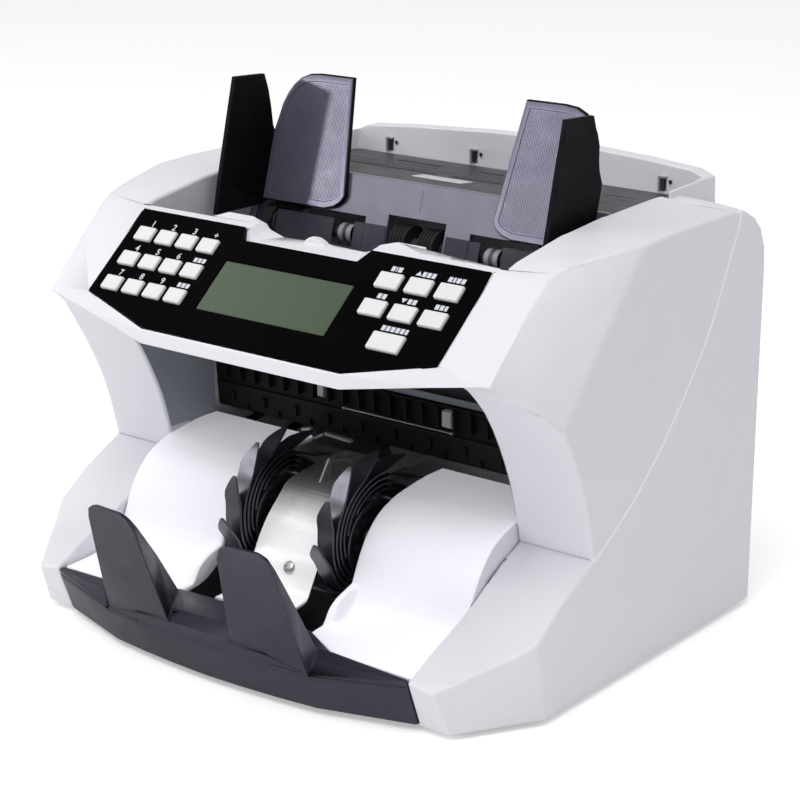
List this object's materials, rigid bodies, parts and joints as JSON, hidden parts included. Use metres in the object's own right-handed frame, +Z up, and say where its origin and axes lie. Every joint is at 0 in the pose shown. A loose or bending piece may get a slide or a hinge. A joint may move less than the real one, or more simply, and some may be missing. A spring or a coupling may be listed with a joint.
{
  "type": "banknote counting machine",
  "caption": "Desktop banknote counter with a rear hopper between sliding guides, a sloping keypad and display, fan stacker wheels over an open pocket, and a bowed front trim.",
  "frame": {"origin": "on the table, at the centre of the machine's footprint", "axes": "+Z up, -Y the front with the keypad and pocket, +X to the right of someone facing the front"},
  "size_m": [0.28, 0.262, 0.2382],
  "materials": {
    "case_white": "fine satin moulded ABS, very slightly cool white",
    "trim_charcoal": "fine-grained charcoal ABS with a soft sheen",
    "guide_slate": "semi-gloss slate plastic with ribbed insets",
    "inner_black": "black moulded plastic",
    "panel_gloss_black": "glossy black printed overlay",
    "lcd_green": "grey-green LCD behind a clear film",
    "key_white": "satin white keycaps",
    "deck_grey": "mid grey plastic",
    "steel": "plain machined and pressed steel",
    "polished_plate": "polished bright plate",
    "rubber": "black rubber",
    "finger_rubber": "black moulded elastomer fingers",
    "circuit_board": "green laminate",
    "pinion_nylon": "natural nylon"
  },
  "bodies": {
    "chassis": {"rear_housing": "case_white", "front_cover": "case_white", "front_base_trim": "trim_charcoal", "bottom_pan": "steel", "foot_front_left": "rubber", "foot_front_right": "rubber", "foot_rear_left": "rubber", "foot_rear_right": "rubber", "control_panel": "panel_gloss_black", "lcd_window": "lcd_green", "control_board": "circuit_board", "hopper_tray": "inner_black", "hopper_back_plate": "guide_slate", "rear_deck": "deck_grey", "ramp_left": "case_white", "ramp_right": "case_white", "centre_chute_plate": "polished_plate", "discharge_cover": "inner_black", "sensor_rod": "steel", "side_frame_left": "steel", "side_frame_right": "steel", "drive_motor": "steel", "mains_inlet": "inner_black", "stacker_belt": "rubber", "drive_belt": "rubber"},
    "guide_right": {"note_guide_right": "guide_slate", "guide_rack_right": "steel"},
    "guide_left": {"note_guide_left": "guide_slate", "guide_rack_left": "steel"},
    "pinion": {"guide_pinion": "pinion_nylon"},
    "motor_rotor": {"motor_pulley": "steel"},
    "stacker": {"stacker_shaft": "steel", "stacker_wheel_left": "finger_rubber", "stacker_wheel_right": "finger_rubber"},
    "feed": {"feed_shaft": "steel", "feed_roller_left": "rubber", "feed_roller_right": "rubber"},
    "pickup": {"pickup_shaft": "deck_grey", "pickup_roller_left": "rubber", "pickup_roller_right": "rubber"},
    "switch": {"power_switch": "inner_black"},
    "key_1": {"key_1": "key_white"},
    "key_2": {"key_2": "key_white"},
    "key_3": {"key_3": "key_white"},
    "key_add": {"key_add": "key_white"},
    "key_4": {"key_4": "key_white"},
    "key_5": {"key_5": "key_white"},
    "key_6": {"key_6": "key_white"},
    "key_batch": {"key_batch": "key_white"},
    "key_7": {"key_7": "key_white"},
    "key_8": {"key_8": "key_white"},
    "key_9": {"key_9": "key_white"},
    "key_0": {"key_0": "key_white"},
    "fkey_mode": {"fkey_mode": "key_white"},
    "fkey_up": {"fkey_up": "key_white"},
    "fkey_clear": {"fkey_clear": "key_white"},
    "fkey_back": {"fkey_back": "key_white"},
    "fkey_down": {"fkey_down": "key_white"},
    "fkey_menu": {"fkey_menu": "key_white"},
    "fkey_start": {"fkey_start": "key_white"}
  },
  "joints": [
    {"name": "guide_right_slide", "type": "slide", "parent": "chassis", "child": "guide_right", "axis": [-1, 0, 0], "range_m": [0, 0.038]},
    {"name": "guide_left_slide", "type": "slide", "parent": "chassis", "child": "guide_left", "axis": [1, 0, 0], "range_m": [0, 0.038]},
    {"name": "guide_pinion_spin", "type": "hinge", "parent": "chassis", "child": "pinion", "pos_m": [0, 0.0626, 0.178], "axis": [0, 0, 1], "range_deg": [-220, 2]},
    {"name": "motor_spin", "type": "hinge", "parent": "chassis", "child": "motor_rotor", "pos_m": [0, 0.0716, 0.065], "axis": [1, 0, 0], "continuous": true},
    {"name": "stacker_spin", "type": "hinge", "parent": "chassis", "child": "stacker", "pos_m": [0, -0.0335, 0.0497], "axis": [1, 0, 0], "continuous": true},
    {"name": "feed_spin", "type": "hinge", "parent": "chassis", "child": "feed", "pos_m": [0, 0.0186, 0.13], "axis": [1, 0, 0], "continuous": true},
    {"name": "pickup_spin", "type": "hinge", "parent": "chassis", "child": "pickup", "pos_m": [0, 0.0396, 0.166], "axis": [1, 0, 0], "continuous": true},
    {"name": "power_switch_rock", "type": "hinge", "parent": "chassis", "child": "switch", "pos_m": [0.039, 0.1206, 0.043], "axis": [1, 0, 0], "range_deg": [-8, 8]},
    {"name": "key_1_press", "type": "slide", "parent": "chassis", "child": "key_1", "axis": [0, 0.6432, -0.7657], "range_m": [0, 0.0012], "stiffness_N_per_m": 150},
    {"name": "key_2_press", "type": "slide", "parent": "chassis", "child": "key_2", "axis": [0, 0.6432, -0.7657], "range_m": [0, 0.0012], "stiffness_N_per_m": 150},
    {"name": "key_3_press", "type": "slide", "parent": "chassis", "child": "key_3", "axis": [0, 0.6432, -0.7657], "range_m": [0, 0.0012], "stiffness_N_per_m": 150},
    {"name": "key_add_press", "type": "slide", "parent": "chassis", "child": "key_add", "axis": [0, 0.6432, -0.7657], "range_m": [0, 0.0012], "stiffness_N_per_m": 150},
    {"name": "key_4_press", "type": "slide", "parent": "chassis", "child": "key_4", "axis": [0, 0.6432, -0.7657], "range_m": [0, 0.0012], "stiffness_N_per_m": 150},
    {"name": "key_5_press", "type": "slide", "parent": "chassis", "child": "key_5", "axis": [0, 0.6432, -0.7657], "range_m": [0, 0.0012], "stiffness_N_per_m": 150},
    {"name": "key_6_press", "type": "slide", "parent": "chassis", "child": "key_6", "axis": [0, 0.6432, -0.7657], "range_m": [0, 0.0012], "stiffness_N_per_m": 150},
    {"name": "key_batch_press", "type": "slide", "parent": "chassis", "child": "key_batch", "axis": [0, 0.6432, -0.7657], "range_m": [0, 0.0012], "stiffness_N_per_m": 150},
    {"name": "key_7_press", "type": "slide", "parent": "chassis", "child": "key_7", "axis": [0, 0.6432, -0.7657], "range_m": [0, 0.0012], "stiffness_N_per_m": 150},
    {"name": "key_8_press", "type": "slide", "parent": "chassis", "child": "key_8", "axis": [0, 0.6432, -0.7657], "range_m": [0, 0.0012], "stiffness_N_per_m": 150},
    {"name": "key_9_press", "type": "slide", "parent": "chassis", "child": "key_9", "axis": [0, 0.6432, -0.7657], "range_m": [0, 0.0012], "stiffness_N_per_m": 150},
    {"name": "key_0_press", "type": "slide", "parent": "chassis", "child": "key_0", "axis": [0, 0.6432, -0.7657], "range_m": [0, 0.0012], "stiffness_N_per_m": 150},
    {"name": "fkey_mode_press", "type": "slide", "parent": "chassis", "child": "fkey_mode", "axis": [0, 0.6432, -0.7657], "range_m": [0, 0.0012], "stiffness_N_per_m": 150},
    {"name": "fkey_up_press", "type": "slide", "parent": "chassis", "child": "fkey_up", "axis": [0, 0.6432, -0.7657], "range_m": [0, 0.0012], "stiffness_N_per_m": 150},
    {"name": "fkey_clear_press", "type": "slide", "parent": "chassis", "child": "fkey_clear", "axis": [0, 0.6432, -0.7657], "range_m": [0, 0.0012], "stiffness_N_per_m": 150},
    {"name": "fkey_back_press", "type": "slide", "parent": "chassis", "child": "fkey_back", "axis": [0, 0.6432, -0.7657], "range_m": [0, 0.0012], "stiffness_N_per_m": 150},
    {"name": "fkey_down_press", "type": "slide", "parent": "chassis", "child": "fkey_down", "axis": [0, 0.6432, -0.7657], "range_m": [0, 0.0012], "stiffness_N_per_m": 150},
    {"name": "fkey_menu_press", "type": "slide", "parent": "chassis", "child": "fkey_menu", "axis": [0, 0.6432, -0.7657], "range_m": [0, 0.0012], "stiffness_N_per_m": 150},
    {"name": "fkey_start_press", "type": "slide", "parent": "chassis", "child": "fkey_start", "axis": [0, 0.6432, -0.7657], "range_m": [0, 0.0012], "stiffness_N_per_m": 150}
  ],
  "couplings": [
    {"joint": "guide_left_slide", "follows": "guide_right_slide", "ratio": 1},
    {"joint": "guide_pinion_spin", "follows": "guide_right_slide", "rad_per_m": -100},
    {"joint": "stacker_spin", "follows": "motor_spin", "ratio": 1.3333},
    {"joint": "feed_spin", "follows": "motor_spin", "ratio": 0.8},
    {"joint": "pickup_spin", "follows": "motor_spin", "ratio": 1.3333}
  ]
}
